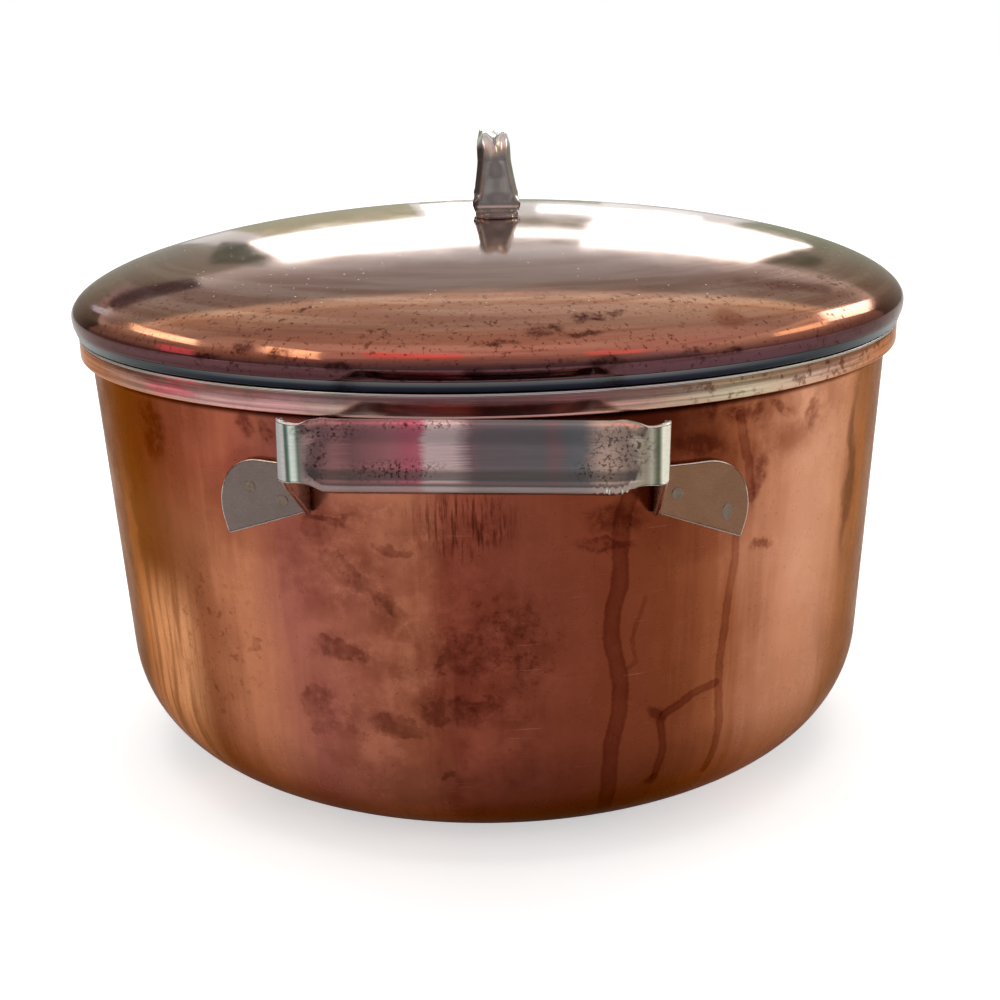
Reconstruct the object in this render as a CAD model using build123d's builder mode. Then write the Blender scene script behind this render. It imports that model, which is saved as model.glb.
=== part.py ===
from build123d import *
import os
from math import asin, cos, pi, radians, sin, sqrt, tan

os.makedirs("parts", exist_ok=True)

# The origin is the centre of the resting face. +Z is up, the front handle is on -Y, the rear handle on +Y.

# Body, outside sizes
SHOULDER_RADIUS = 120.02     # where the wall meets the short step under the collar
SHOULDER_HEIGHT = 122.8
WALL_DRAFT = 3.25            # degrees that the wall leans outward
BASE_CORNER = 36.0           # radius between the bottom and the wall
RIM_RADIUS = 123.2
FLARE_TOP = 123.9
RIM_HEIGHT = 130.0
FLARE_ROUND = 1.5            # radius at both ends of the step

# Sheet thicknesses
COPPER = 1.2
STEEL = 0.6
RIM_FOLD = 0.8               # height of the steel folded over the copper's edge
STRAP = 1.5                  # handles

# Lid, outside sizes
LID_RADIUS = 124.8
LID_WIDEST = 135.8           # height of the widest ring
LID_CROWN = 162.0
DOME_SHAPE = 1.866           # exponent of the dome's curve, 2 is an ellipse
CURL_RADIUS = 11.9           # section radius of the edge below the widest ring
LID_GAP = 0.3                # between the lid's edge and the rim
HEM_HEIGHT = 2.6             # steel hem below the copper
SEAT_RADIUS = 120.9
SEAT_DEPTH = 4.6

# Side handles
HANDLE_WIDTH = 87.2          # across the two arms, outside
GRIP_REACH = 150.0           # from the pot's axis to the grip's face
GRIP_HEIGHT = 122.0          # middle of the grip
GRIP_HALF = 8.2
GRIP_LEAN = 22.0             # degrees that the grip's face looks upward
GRIP_LIP = 4.6               # depth of the folded long edges
GRIP_DISH = 0.9              # hollow along the middle of the face
EDGE_ROLL = 1.9              # outside radius of the folded edges
NECK_HALF = 7.0              # almost flat strap at the corners
NECK_LIP = 2.0
NECK_DISH = 0.05
GRIP_EVEN_END = 32.5         # the channel keeps its section up to here
NECK_START = 38.3            # and is flat from here on
CORNER_RADIUS = 5.0
FOLD_RADIUS = 1.2            # inside radius where an arm turns into a wing
ARM_FOOT_LOW = 97.2          # where the arm's lower and upper edges reach the wall
ARM_FOOT_HIGH = 109.7
WING_TURN = 27.2             # degrees from the handle's middle to the wing's arc centre
WING_HEIGHT = 95.8
WING_ARC = 13.8
WING_TILT = 20.5             # degrees that the wing's straight edge falls outward
WING_SIDE = 3.0
WING_END_TURN = 37.0
FRONT_ROLL = 1.4             # the front handle is welded this many degrees out of level

# Weld spots on the wings: degrees from the handle's middle, height
SPOT_PLACES = ((23.6, 102.4), (30.9, 95.8), (-24.3, 99.6), (-28.9, 102.0))
SPOT_DIAMETER = 3.0
SPOT_BITE = 0.5              # depth that a spot reaches into the copper
SPOT_DENT = 0.15             # it lies this much below the strap's face

# Lid handle
KNOB_LENGTH = 42.0           # outside, across its two legs
KNOB_TOP = 184.6
KNOB_HALF_TOP = 5.0
KNOB_HALF_FOOT = 7.0
KNOB_CORNER = 8.0
KNOB_LIP = 4.2
KNOB_SPLAY = 24.0            # degrees that its folded edges lean outward
KNOB_DISH = 1.5
FOOT_REACH = 32.0            # end of a foot, from the handle's middle
FOOT_HALF = 6.2
KNOB_OFFSET = 3.3            # the handle stands this far to the right of the crown
KNOB_TURN = 1.2              # degrees
KNOB_TILT = 2.0              # it leans this many degrees to the left
KNOB_SPOTS = ((2.9, 25.6), (-2.9, 25.6))

OVERRUN = 10.0               # spare length of cutting shapes
DOME_STEPS = 14


def wall_radius(height):
    """Outside radius of the tapered wall."""
    return SHOULDER_RADIUS - (SHOULDER_HEIGHT - height) * tan(radians(WALL_DRAFT))


def on_circle(radius, turn):
    """Plan point at a radius, turned from the front."""
    return radius * sin(radians(turn)), -radius * cos(radians(turn))


def save(part, name):
    part.label = name
    export_step(part, f"parts/{name}.step")


# Body section: a filled half outline, drawn a distance inside the outer surface
def cup_outline(inset, top):
    side = [
        (wall_radius(0), 0),
        (SHOULDER_RADIUS, SHOULDER_HEIGHT),
        (RIM_RADIUS, FLARE_TOP),
        (RIM_RADIUS, RIM_HEIGHT + OVERRUN),
    ]
    other_side = [(-x, z) for x, z in reversed(side)]
    with BuildSketch() as outline:
        with BuildLine():
            Polyline(*side, *other_side, close=True)
        make_face()
        levels = outline.vertices().group_by(Axis.Y)
        fillet(levels[0], BASE_CORNER)
        levels = outline.vertices().group_by(Axis.Y)
        fillet(levels[-2] + levels[-3], FLARE_ROUND)
        if inset > 0:
            offset(amount=-inset)
        with Locations((0, top)):
            Rectangle(RIM_RADIUS + OVERRUN, top + OVERRUN, align=(Align.MIN, Align.MAX), mode=Mode.INTERSECT)
    return outline.sketch


def dome_height(radius):
    """Height of the lid's outer surface."""
    rise = LID_CROWN - LID_WIDEST
    return LID_WIDEST + rise * (1 - (radius / LID_RADIUS) ** DOME_SHAPE) ** (1 / DOME_SHAPE)


# Lid section: the dome's curve and the skins inside it share one formula
def dome_point(step, inset):
    if step == DOME_STEPS:
        return 0, LID_CROWN - inset
    turn = step / DOME_STEPS * pi / 2
    across = cos(turn) ** (2 / DOME_SHAPE)
    up = sin(turn) ** (2 / DOME_SHAPE)
    return (LID_RADIUS - inset) * across, LID_WIDEST + (LID_CROWN - LID_WIDEST - inset) * up


def dome_outline(inset, foot):
    """Filled half section of the lid down to the height `foot`."""
    points = [dome_point(step, inset) for step in range(DOME_STEPS + 1)]
    curl = CURL_RADIUS - inset
    drop = asin((LID_WIDEST - foot) / curl)
    curl_centre = (LID_RADIUS - CURL_RADIUS, LID_WIDEST)
    foot_radius = curl_centre[0] + curl * cos(drop)
    with BuildSketch() as outline:
        with BuildLine():
            Spline(*points)
            Line(points[-1], (0, foot))
            Line((0, foot), (foot_radius, foot))
            CenterArc(curl_centre, curl, -drop * 180 / pi, drop * 180 / pi)
        make_face()
    return outline.sketch


# Strap section: a face hollowed by `dish`, with two long edges folded back to `lip` and leaning out by `splay`
def strap_section(plane, half, lip, dish, splay=0):
    inner = EDGE_ROLL - STRAP
    lean = radians(splay)
    middle = radians(45 + splay / 2)
    lip_start = EDGE_ROLL * (1 - sin(lean))
    lip_rise = (lip - lip_start) * tan(lean)
    ridge = half - EDGE_ROLL * cos(lean) - lip_rise
    arc_middle = (EDGE_ROLL - EDGE_ROLL * sin(middle), ridge + EDGE_ROLL * cos(middle))
    arc_end = (lip_start, half - lip_rise)
    tip = (lip, half)
    tip_inner = (lip + STRAP * sin(lean), half - STRAP * cos(lean))
    inner_end = (EDGE_ROLL - inner * sin(lean), ridge + inner * cos(lean))
    inner_middle = (EDGE_ROLL - inner * sin(middle), ridge + inner * cos(middle))
    with BuildSketch(plane) as section:
        with BuildLine():
            for side in (1, -1):
                Line((tip[0], tip[1] * side), (arc_end[0], arc_end[1] * side))
                ThreePointArc(
                    (arc_end[0], arc_end[1] * side),
                    (arc_middle[0], arc_middle[1] * side),
                    (0, ridge * side),
                )
                Line((tip[0], tip[1] * side), (tip_inner[0], tip_inner[1] * side))
                Line((tip_inner[0], tip_inner[1] * side), (inner_end[0], inner_end[1] * side))
                ThreePointArc(
                    (inner_end[0], inner_end[1] * side),
                    (inner_middle[0], inner_middle[1] * side),
                    (STRAP, ridge * side),
                )
            ThreePointArc((0, ridge), (dish, 0), (0, -ridge))
            ThreePointArc((STRAP, ridge), (STRAP + dish, 0), (STRAP, -ridge))
        make_face()
    return section.sketch


def grip_plane(x, lean):
    """Plane across the grip: its x looks at the pot, its y is up the leaning face."""
    tilt = radians(lean)
    return Plane(origin=(x, -GRIP_REACH, GRIP_HEIGHT), x_dir=(0, cos(tilt), -sin(tilt)), z_dir=(1, 0, 0))


# Plan of one side of a handle at a height: flat neck, corner, arm, fold and wing
def strap_plan(height):
    back = wall_radius(height)
    face = back + STRAP
    outer_x = HANDLE_WIDTH / 2
    inner_x = outer_x - STRAP
    fold_out = asin(outer_x / face) * 180 / pi
    fold_in = asin(inner_x / back) * 180 / pi
    corner_out = (outer_x, -GRIP_REACH)
    corner_in = (inner_x, STRAP - GRIP_REACH)
    fold_face = on_circle(face, fold_out)
    fold_back = on_circle(back, fold_in)
    end_face = on_circle(face, WING_END_TURN)
    end_back = on_circle(back, WING_END_TURN)
    with BuildSketch(Plane.XY.offset(height)) as plan:
        with BuildLine():
            Polyline((NECK_START, -GRIP_REACH), corner_out, fold_face)
            ThreePointArc(fold_face, on_circle(face, (fold_out + WING_END_TURN) / 2), end_face)
            Line(end_face, end_back)
            ThreePointArc(end_back, on_circle(back, (fold_in + WING_END_TURN) / 2), fold_back)
            Polyline(fold_back, corner_in, (NECK_START, STRAP - GRIP_REACH), (NECK_START, -GRIP_REACH))
        make_face()
        rounds = (
            (corner_out, CORNER_RADIUS),
            (corner_in, CORNER_RADIUS - STRAP),
            (fold_face, FOLD_RADIUS),
            (fold_back, FOLD_RADIUS + STRAP),
        )
        for place, radius in rounds:
            fillet(plan.vertices().sort_by_distance(Vertex(*place, 0))[0], radius)
    return plan.sketch


# Side view of an arm, which falls from the grip to the wall, and outline of a wing square to the wall
def side_outline():
    arm_back = cos(asin(HANDLE_WIDTH / 2 / SHOULDER_RADIUS))
    wall_low = -wall_radius(ARM_FOOT_LOW) * arm_back
    wall_high = -wall_radius(ARM_FOOT_HIGH) * arm_back
    corner_end = CORNER_RADIUS - GRIP_REACH
    slope = (ARM_FOOT_HIGH - GRIP_HEIGHT - NECK_HALF) / (wall_high - corner_end)
    low_slope = (ARM_FOOT_LOW - GRIP_HEIGHT + NECK_HALF) / (wall_low - corner_end)
    tilt = radians(WING_TILT)
    around = Vector(cos(radians(WING_TURN)), sin(radians(WING_TURN)), 0)
    outward = Vector(*on_circle(1, WING_TURN), 0)
    wing_centre = outward * wall_radius(WING_HEIGHT) + Vector(0, 0, WING_HEIGHT)
    wing_side_top = (WING_ARC * cos(tilt), -WING_ARC * sin(tilt))
    wing_corner = (wing_side_top[0] - WING_SIDE * sin(tilt), wing_side_top[1] - WING_SIDE * cos(tilt))
    with BuildPart() as outline:
        with BuildSketch(Plane.YZ) as arm:
            with BuildLine():
                Polyline(
                    (-GRIP_REACH - OVERRUN, GRIP_HEIGHT + NECK_HALF),
                    (corner_end, GRIP_HEIGHT + NECK_HALF),
                    (wall_high + OVERRUN, ARM_FOOT_HIGH + slope * OVERRUN),
                    (wall_low + OVERRUN, ARM_FOOT_LOW + low_slope * OVERRUN),
                    (corner_end, GRIP_HEIGHT - NECK_HALF),
                    (-GRIP_REACH - OVERRUN, GRIP_HEIGHT - NECK_HALF),
                    close=True,
                )
            make_face()
            knees = arm.vertices().sort_by_distance(Vertex(corner_end, GRIP_HEIGHT, 0))[:2]
            fillet(knees, CORNER_RADIUS)
        extrude(amount=HANDLE_WIDTH / 2 + FOLD_RADIUS)
        with BuildSketch(Plane(origin=wing_centre, x_dir=around, z_dir=outward)) as wing:
            with BuildLine():
                CenterArc((0, 0), WING_ARC, 90, -90 - WING_TILT)
                Polyline(
                    wing_side_top,
                    wing_corner,
                    (-WING_ARC, wing_corner[1] + (wing_corner[0] + WING_ARC) * tan(tilt)),
                    (-WING_ARC, WING_ARC),
                    (0, WING_ARC),
                )
            make_face()
            fillet(wing.vertices().sort_by_distance(Vertex(*wing_corner, 0))[0], FOLD_RADIUS)
        extrude(amount=OVERRUN, both=True)
    return outline.part


# Round weld spots that join a strap to the sheet under it
def spot(plane):
    with BuildPart() as weld:
        with BuildSketch(plane.offset(-SPOT_BITE)):
            Circle(SPOT_DIAMETER / 2)
        extrude(amount=SPOT_BITE + STRAP - SPOT_DENT)
    return weld.part


def wing_spots():
    welds = []
    for turn, height in SPOT_PLACES:
        x, y = on_circle(1, turn)
        lean = radians(WALL_DRAFT)
        outward = Vector(x * cos(lean), y * cos(lean), -sin(lean))
        foot = Vector(x, y, 0) * wall_radius(height) + Vector(0, 0, height)
        welds.append(spot(Plane(origin=foot, z_dir=outward)))
    return welds


# One whole side handle, at the front
def side_handle():
    low = strap_plan(WING_HEIGHT - WING_ARC)
    high = strap_plan(GRIP_HEIGHT + 2 * NECK_HALF)
    with BuildPart() as half:
        loft([low, high], ruled=True)
        add(side_outline(), mode=Mode.INTERSECT)
    even = [strap_section(grip_plane(x, GRIP_LEAN), GRIP_HALF, GRIP_LIP, GRIP_DISH) for x in (0, GRIP_EVEN_END)]
    neck = strap_section(grip_plane(NECK_START + STRAP, 0), NECK_HALF, NECK_LIP, NECK_DISH)
    with BuildPart() as handle:
        add(half.part)
        loft(even, ruled=True)
        loft([even[1], neck], ruled=True)
        mirror(about=Plane.YZ)
    return handle.part


# Lid handle: a level grip, two corners and two legs that widen downward
def lid_strap():
    corner_y = KNOB_CORNER - KNOB_LENGTH / 2
    leg_top = KNOB_TOP - KNOB_CORNER
    across = Plane(origin=(0, 0, KNOB_TOP), x_dir=(0, 0, -1), z_dir=(0, 1, 0))
    bend = Plane(origin=(0, corner_y, KNOB_TOP), x_dir=(0, 0, -1), z_dir=(0, 1, 0))
    leg_start = Plane(origin=(0, -KNOB_LENGTH / 2, leg_top), x_dir=(0, 1, 0), z_dir=(0, 0, -1))
    leg_foot = Plane(origin=(0, -KNOB_LENGTH / 2, LID_CROWN - OVERRUN / 2), x_dir=(0, 1, 0), z_dir=(0, 0, -1))
    planes = (across, bend, leg_start)
    top = [strap_section(plane, KNOB_HALF_TOP, KNOB_LIP, KNOB_DISH, KNOB_SPLAY) for plane in planes]
    foot = strap_section(leg_foot, KNOB_HALF_FOOT, KNOB_LIP, KNOB_DISH / 2, KNOB_SPLAY)
    with BuildPart() as strap:
        loft(top[:2], ruled=True)
        add(top[1])
        revolve(axis=Axis((0, corner_y, leg_top), (1, 0, 0)), revolution_arc=90)
        loft([top[2], foot], ruled=True)
        mirror(about=Plane.XZ)
    return strap.part


def lid_feet():
    with BuildPart() as feet:
        with BuildSketch(Plane.XY.offset(LID_WIDEST)):
            SlotCenterToCenter(2 * (FOOT_REACH - FOOT_HALF), 2 * FOOT_HALF, rotation=90)
            Rectangle(2 * FOOT_HALF, KNOB_LENGTH - 2 * STRAP, mode=Mode.SUBTRACT)
        extrude(amount=LID_CROWN)
    return feet.part


crown = Pos(0, 0, LID_CROWN)
knob_place = Pos(KNOB_OFFSET, 0, 0) * crown * Rot(0, -KNOB_TILT, KNOB_TURN) * crown.inverse()


def lid_spots():
    welds = []
    for x, y in KNOB_SPOTS:
        for side in (1, -1):
            centre = (knob_place * Pos(x * side, y * side, LID_CROWN)).position
            height = dome_height(sqrt(centre.X ** 2 + centre.Y ** 2))
            welds.append(spot(Plane(origin=(centre.X, centre.Y, height))))
    return welds


front_place = Pos(0, 0, WING_HEIGHT) * Rot(0, FRONT_ROLL, 0) * Pos(0, 0, -WING_HEIGHT)
rear_place = Rot(0, 0, 180)
front_welds = [front_place * weld for weld in wing_spots()]
rear_welds = [rear_place * weld for weld in wing_spots()]
knob_welds = lid_spots()

with BuildPart() as pot_body:
    with BuildSketch(Plane.XZ):
        add(cup_outline(0, RIM_HEIGHT))
    revolve(axis=Axis.Z)

with BuildPart() as pot_shell:
    with BuildSketch(Plane.XZ):
        add(cup_outline(0, RIM_HEIGHT - RIM_FOLD))
        add(cup_outline(COPPER, RIM_HEIGHT), mode=Mode.SUBTRACT)
    revolve(axis=Axis.Z)
    add(front_welds + rear_welds, mode=Mode.SUBTRACT)
save(pot_shell.part, "pot_shell")

with BuildPart() as pot_lining:
    with BuildSketch(Plane.XZ):
        add(cup_outline(COPPER, RIM_HEIGHT))
        with Locations((RIM_RADIUS, RIM_HEIGHT)):
            Rectangle(COPPER, RIM_FOLD, align=(Align.MAX, Align.MAX))
        add(cup_outline(COPPER + STEEL, RIM_HEIGHT), mode=Mode.SUBTRACT)
    revolve(axis=Axis.Z)
save(pot_lining.part, "pot_lining")

with BuildPart() as front_handle:
    with Locations(front_place):
        add(side_handle())
    add(pot_body.part, mode=Mode.SUBTRACT)
    add(front_welds, mode=Mode.SUBTRACT)
save(front_handle.part, "front_handle")

with BuildPart() as rear_handle:
    with Locations(rear_place):
        add(side_handle())
    add(pot_body.part, mode=Mode.SUBTRACT)
    add(rear_welds, mode=Mode.SUBTRACT)
save(rear_handle.part, "rear_handle")

hem_top = RIM_HEIGHT + LID_GAP + HEM_HEIGHT
lid_foot = RIM_HEIGHT + LID_GAP

with BuildPart() as lid_body:
    with BuildSketch(Plane.XZ):
        add(dome_outline(0, hem_top))
    revolve(axis=Axis.Z)

with BuildPart() as lid_shell:
    with BuildSketch(Plane.XZ):
        add(dome_outline(0, hem_top))
        add(dome_outline(COPPER, hem_top), mode=Mode.SUBTRACT)
    revolve(axis=Axis.Z)
    add(knob_welds, mode=Mode.SUBTRACT)
save(lid_shell.part, "lid_shell")

with BuildPart() as lid_lining:
    with BuildSketch(Plane.XZ):
        add(dome_outline(0, lid_foot))
        with Locations((0, hem_top)):
            Rectangle(LID_RADIUS, LID_CROWN, align=(Align.MIN, Align.MIN), mode=Mode.SUBTRACT)
        add(dome_outline(COPPER, hem_top))
        add(dome_outline(COPPER + STEEL, lid_foot + STEEL), mode=Mode.SUBTRACT)
        with Locations((0, lid_foot)):
            Rectangle(SEAT_RADIUS - STEEL, STEEL, align=(Align.MIN, Align.MIN), mode=Mode.SUBTRACT)
        with Locations((SEAT_RADIUS, lid_foot)):
            Rectangle(STEEL, SEAT_DEPTH, align=(Align.MAX, Align.MAX))
    revolve(axis=Axis.Z)
save(lid_lining.part, "lid_lining")

with BuildPart() as foot_sheet:
    with BuildSketch(Plane.XZ):
        add(dome_outline(-STRAP, hem_top))
        add(dome_outline(0, hem_top), mode=Mode.SUBTRACT)
    revolve(axis=Axis.Z)

with BuildPart() as lid_handle:
    with Locations(knob_place):
        add(lid_feet())
    add(foot_sheet.part, mode=Mode.INTERSECT)
    with Locations(knob_place):
        add(lid_strap())
    add(lid_body.part, mode=Mode.SUBTRACT)
    add(knob_welds, mode=Mode.SUBTRACT)
save(lid_handle.part, "lid_handle")

weld_groups = {
    "front_handle_welds": front_welds,
    "rear_handle_welds": rear_welds,
    "lid_handle_welds": knob_welds,
}
for name, welds in weld_groups.items():
    with BuildPart() as group:
        add(welds)
    save(group.part, name)
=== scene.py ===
from math import asin, atan2, cos, degrees, hypot, pi, radians, sin, sqrt, tan

import bmesh
import bpy
from mathutils import Matrix, Vector


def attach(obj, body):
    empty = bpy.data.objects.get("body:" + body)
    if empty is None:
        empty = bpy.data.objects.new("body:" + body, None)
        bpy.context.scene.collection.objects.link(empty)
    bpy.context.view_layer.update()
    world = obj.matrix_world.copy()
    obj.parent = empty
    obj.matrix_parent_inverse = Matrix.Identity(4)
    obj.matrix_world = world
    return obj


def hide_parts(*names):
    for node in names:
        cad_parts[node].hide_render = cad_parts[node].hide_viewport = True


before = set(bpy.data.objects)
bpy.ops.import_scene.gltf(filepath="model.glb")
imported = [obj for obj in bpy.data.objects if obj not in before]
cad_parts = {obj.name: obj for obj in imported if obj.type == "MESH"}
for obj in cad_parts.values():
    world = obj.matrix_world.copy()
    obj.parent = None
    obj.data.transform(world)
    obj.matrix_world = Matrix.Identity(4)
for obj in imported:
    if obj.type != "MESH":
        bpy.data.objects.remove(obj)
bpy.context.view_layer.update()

MM = 0.001

# Sizes in millimetres, the same as the CAD source
SHOULDER_RADIUS, SHOULDER_HEIGHT, WALL_DRAFT = 120.02, 122.8, 3.25
BASE_CORNER = 36
RIM_RADIUS, FLARE_TOP, RIM_HEIGHT, FLARE_ROUND = 123.2, 123.9, 130, 1.5
COPPER, STEEL, RIM_FOLD = 1.2, 0.6, 0.8
LID_RADIUS, LID_WIDEST, LID_CROWN = 124.8, 135.8, 162
DOME_SHAPE, CURL_RADIUS = 1.866, 11.9
LID_FOOT, HEM_TOP = 130.3, 132.9
SEAT_RADIUS, SEAT_FOOT = 120.9, 125.7
STRAP = 1.5
GRIP_REACH, GRIP_HEIGHT, GRIP_HALF, GRIP_LEAN = 149.82, 122, 8.2, 22
ARM_FACE, CORNER = 43.6, 5
NECK_HALF = 7
FOLD_INSIDE = 1.2
WING_MIDDLE, WING_HEIGHT, WING_ARC, WING_TILT, WING_SIDE = 57.5, 95.8, 13.8, 20.5, 3
ARC_RADIUS = 121           # radius at which distances around the wall are counted
FRONT_ROLL = 1.4
GRIP_SHIFT = 1.1             # the front grip stands this far to the left of its wings
NICKS = (25.5, 27, 36.5, 38.3)     # where the nicks on the grip's lower lip start and end
WING_ROWS = 30
RIM_ROUND, HEM_INSET = 0.62, 0.12
KNOB_TOP, KNOB_OFFSET, KNOB_TURN, KNOB_TILT = 184.56, 3.3, 1.2, 2
KNOB_SPLAY, KNOB_FAR_SPLAY, KNOB_ROLL = 15, 27, 1.1


def wall_radius(height):
    return SHOULDER_RADIUS - (SHOULDER_HEIGHT - height) * tan(radians(WALL_DRAFT))


def dome_height(radius):
    share = min(1, radius / LID_RADIUS)
    return LID_WIDEST + (LID_CROWN - LID_WIDEST) * (1 - share ** DOME_SHAPE) ** (1 / DOME_SHAPE)


def smooth(value, low, high):
    share = min(1, max(0, (value - low) / (high - low)))
    return share * share * (3 - 2 * share)


def lerp(a, b, share):
    return a + (b - a) * share


# ---------------------------------------------------------------- meshes

def make_object(name, points, faces, body, replaced):
    """Piece that moves with a body and stands in for the solids named in replaced."""
    mesh = bpy.data.meshes.new(name)
    mesh.from_pydata([Vector(p) * MM for p in points], [], faces)
    mesh.validate()
    work = bmesh.new()
    work.from_mesh(mesh)
    bmesh.ops.remove_doubles(work, verts=work.verts, dist=1e-6)
    bmesh.ops.recalc_face_normals(work, faces=work.faces)
    work.to_mesh(mesh)
    work.free()
    piece = bpy.data.objects.new(name, mesh)
    bpy.context.scene.collection.objects.link(piece)
    mesh.shade_smooth()
    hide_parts(*replaced)
    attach(piece, body)
    return piece


def arc(centre, radius, start, end, steps):
    return [
        (
            centre[0] + radius * cos(radians(lerp(start, end, i / steps))),
            centre[1] + radius * sin(radians(lerp(start, end, i / steps))),
        )
        for i in range(steps + 1)
    ]


def line(a, b, steps):
    return [(lerp(a[0], b[0], i / steps), lerp(a[1], b[1], i / steps)) for i in range(steps + 1)]


def revolve(points, faces, profile, sides, place):
    """Add the surface of a closed profile; place(radius, height, turn) gives its points."""
    rings = []
    for radius, height in profile:
        count = sides if radius > 1e-6 else 1
        rings.append([len(points) + k % count for k in range(sides)])
        points.extend(place(radius, height, 2 * pi * k / sides) for k in range(count))
    for a, b in zip(rings, rings[1:] + rings[:1]):
        for k in range(sides):
            n = (k + 1) % sides
            face = list(dict.fromkeys((a[k], a[n], b[n], b[k])))
            if len(face) > 2:
                faces.append(face)


def lathe(solid, profile, body):
    """Solid of revolution round the pot's axis, in place of one solid of the CAD."""
    points, faces = [], []
    revolve(points, faces, profile, 288, lambda r, h, turn: (r * cos(turn), r * sin(turn), h))
    piece = make_object(solid + "_spun", points, faces, body, [solid])
    piece.data.set_sharp_from_angle(angle=radians(35))
    return piece


def body_side(depth):
    """Profile of the pot from the axis to the collar, a depth inside the outer surface."""
    lean = radians(WALL_DRAFT)
    flat = wall_radius(0) - BASE_CORNER * tan(radians(45 - WALL_DRAFT / 2))
    points = line((0, depth), (flat, depth), 12)
    points += arc((flat, BASE_CORNER), BASE_CORNER - depth, -90, -WALL_DRAFT, 24)[1:]
    flare = atan2(RIM_RADIUS - SHOULDER_RADIUS, FLARE_TOP - SHOULDER_HEIGHT)
    middle, spread = (lean + flare) / 2, depth / cos((flare - lean) / 2)
    shoulder = (SHOULDER_RADIUS - spread * cos(middle), SHOULDER_HEIGHT + spread * sin(middle))
    collar = (RIM_RADIUS - depth, FLARE_TOP + depth * tan(flare / 2))
    low_round, high_round = FLARE_ROUND * 0.5 + depth, max(FLARE_ROUND * 0.6 - depth, 0.05)
    low, high = low_round * tan((flare - lean) / 2), high_round * tan(flare / 2)
    bend_low = (shoulder[0] - low * sin(lean), shoulder[1] - low * cos(lean))
    bend_high = (collar[0] - high * sin(flare), collar[1] - high * cos(flare))
    points += line(points[-1], bend_low, 40)[1:]
    centre = (bend_low[0] + low_round * cos(lean), bend_low[1] - low_round * sin(lean))
    points += arc(centre, low_round, 180 - WALL_DRAFT, 180 - degrees(flare), 8)[1:]
    points += line(points[-1], bend_high, 4)[1:]
    centre = (collar[0] - high_round, collar[1] + high)
    points += arc(centre, high_round, -degrees(flare), 0, 8)[1:]
    return points


side = body_side(0)
inner_copper = body_side(COPPER)
inner_steel = body_side(COPPER + STEEL)

copper_top = RIM_HEIGHT - RIM_FOLD
shell_profile = side + [
    (RIM_RADIUS, copper_top - 0.25),
    (RIM_RADIUS - 0.08, copper_top - 0.06),
    (RIM_RADIUS - 0.3, copper_top),
    (RIM_RADIUS - COPPER, copper_top),
] + inner_copper[::-1]
lining_profile = inner_copper + [
    (RIM_RADIUS - COPPER, copper_top),
    (RIM_RADIUS - 0.3, copper_top),
    (RIM_RADIUS - 0.05, copper_top + 0.08),
]
lining_profile += arc((RIM_RADIUS - RIM_ROUND, RIM_HEIGHT - RIM_ROUND), RIM_ROUND, 0, 90, 5)
rim_inside = RIM_RADIUS - COPPER - STEEL + RIM_ROUND
lining_profile += arc((rim_inside, RIM_HEIGHT - RIM_ROUND), RIM_ROUND, 90, 180, 5)
lining_profile += inner_steel[::-1]

pot_shell = lathe("pot_shell", shell_profile, "pot")
pot_lining = lathe("pot_lining", lining_profile, "pot")


def dome_side(depth, foot):
    """Lid surface from the crown to the height foot, moved inward by depth."""
    steps = 72
    points = [(0, LID_CROWN - depth)]
    for i in range(1, steps + 1):
        turn = pi / 2 * (1 - i / steps)
        across = max(0, cos(turn)) ** (2 / DOME_SHAPE)
        up = max(0, sin(turn)) ** (2 / DOME_SHAPE)
        height = LID_WIDEST + (LID_CROWN - LID_WIDEST - depth) * up
        points.append(((LID_RADIUS - depth) * across, height))
    curl = CURL_RADIUS - depth
    drop = degrees(asin((LID_WIDEST - foot) / curl))
    return points + arc((LID_RADIUS - CURL_RADIUS, LID_WIDEST), curl, 0, -drop, 10)[1:]


lid_outer = dome_side(0, HEM_TOP + 0.25)
lid_under = dome_side(COPPER, HEM_TOP)
foot_radius = lid_outer[-1][0]
lid_shell_profile = lid_outer + [
    (foot_radius - 0.15, HEM_TOP + 0.04),
    (foot_radius - 0.45, HEM_TOP),
] + lid_under[::-1]
hem = [
    (
        LID_RADIUS - CURL_RADIUS + (CURL_RADIUS - HEM_INSET) * cos(radians(turn)),
        LID_WIDEST + (CURL_RADIUS - HEM_INSET) * sin(radians(turn)),
    )
    for turn in (-14.6, -17.5, -20.5, -23.5)
]
hem_foot = hem[-1][0] - 0.35
lid_lining_profile = (
    lid_under
    + [(foot_radius - 0.5, HEM_TOP - 0.02), (hem[0][0] - 0.15, HEM_TOP - 0.05)]
    + hem
    + arc((hem_foot - 0.25, LID_FOOT + 0.5), 0.5, -5, -90, 6)
    + [(SEAT_RADIUS + 0.5, LID_FOOT)]
    + arc((SEAT_RADIUS + 0.5, LID_FOOT - 0.5), 0.5, 90, 180, 4)
    + arc((SEAT_RADIUS - 0.25, SEAT_FOOT + 0.25), 0.25, 0, -180, 6)
    + line((SEAT_RADIUS - STEEL, SEAT_FOOT + 0.6), (SEAT_RADIUS - STEEL, LID_FOOT + STEEL), 2)
    + dome_side(COPPER + STEEL, LID_FOOT + STEEL)[::-1]
)
lid_shell = lathe("lid_shell", lid_shell_profile, "lid")
lid_lining = lathe("lid_lining", lid_lining_profile, "lid")


# Straps: rows of section points from one end to the other, each with an outer and an inner point

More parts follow.
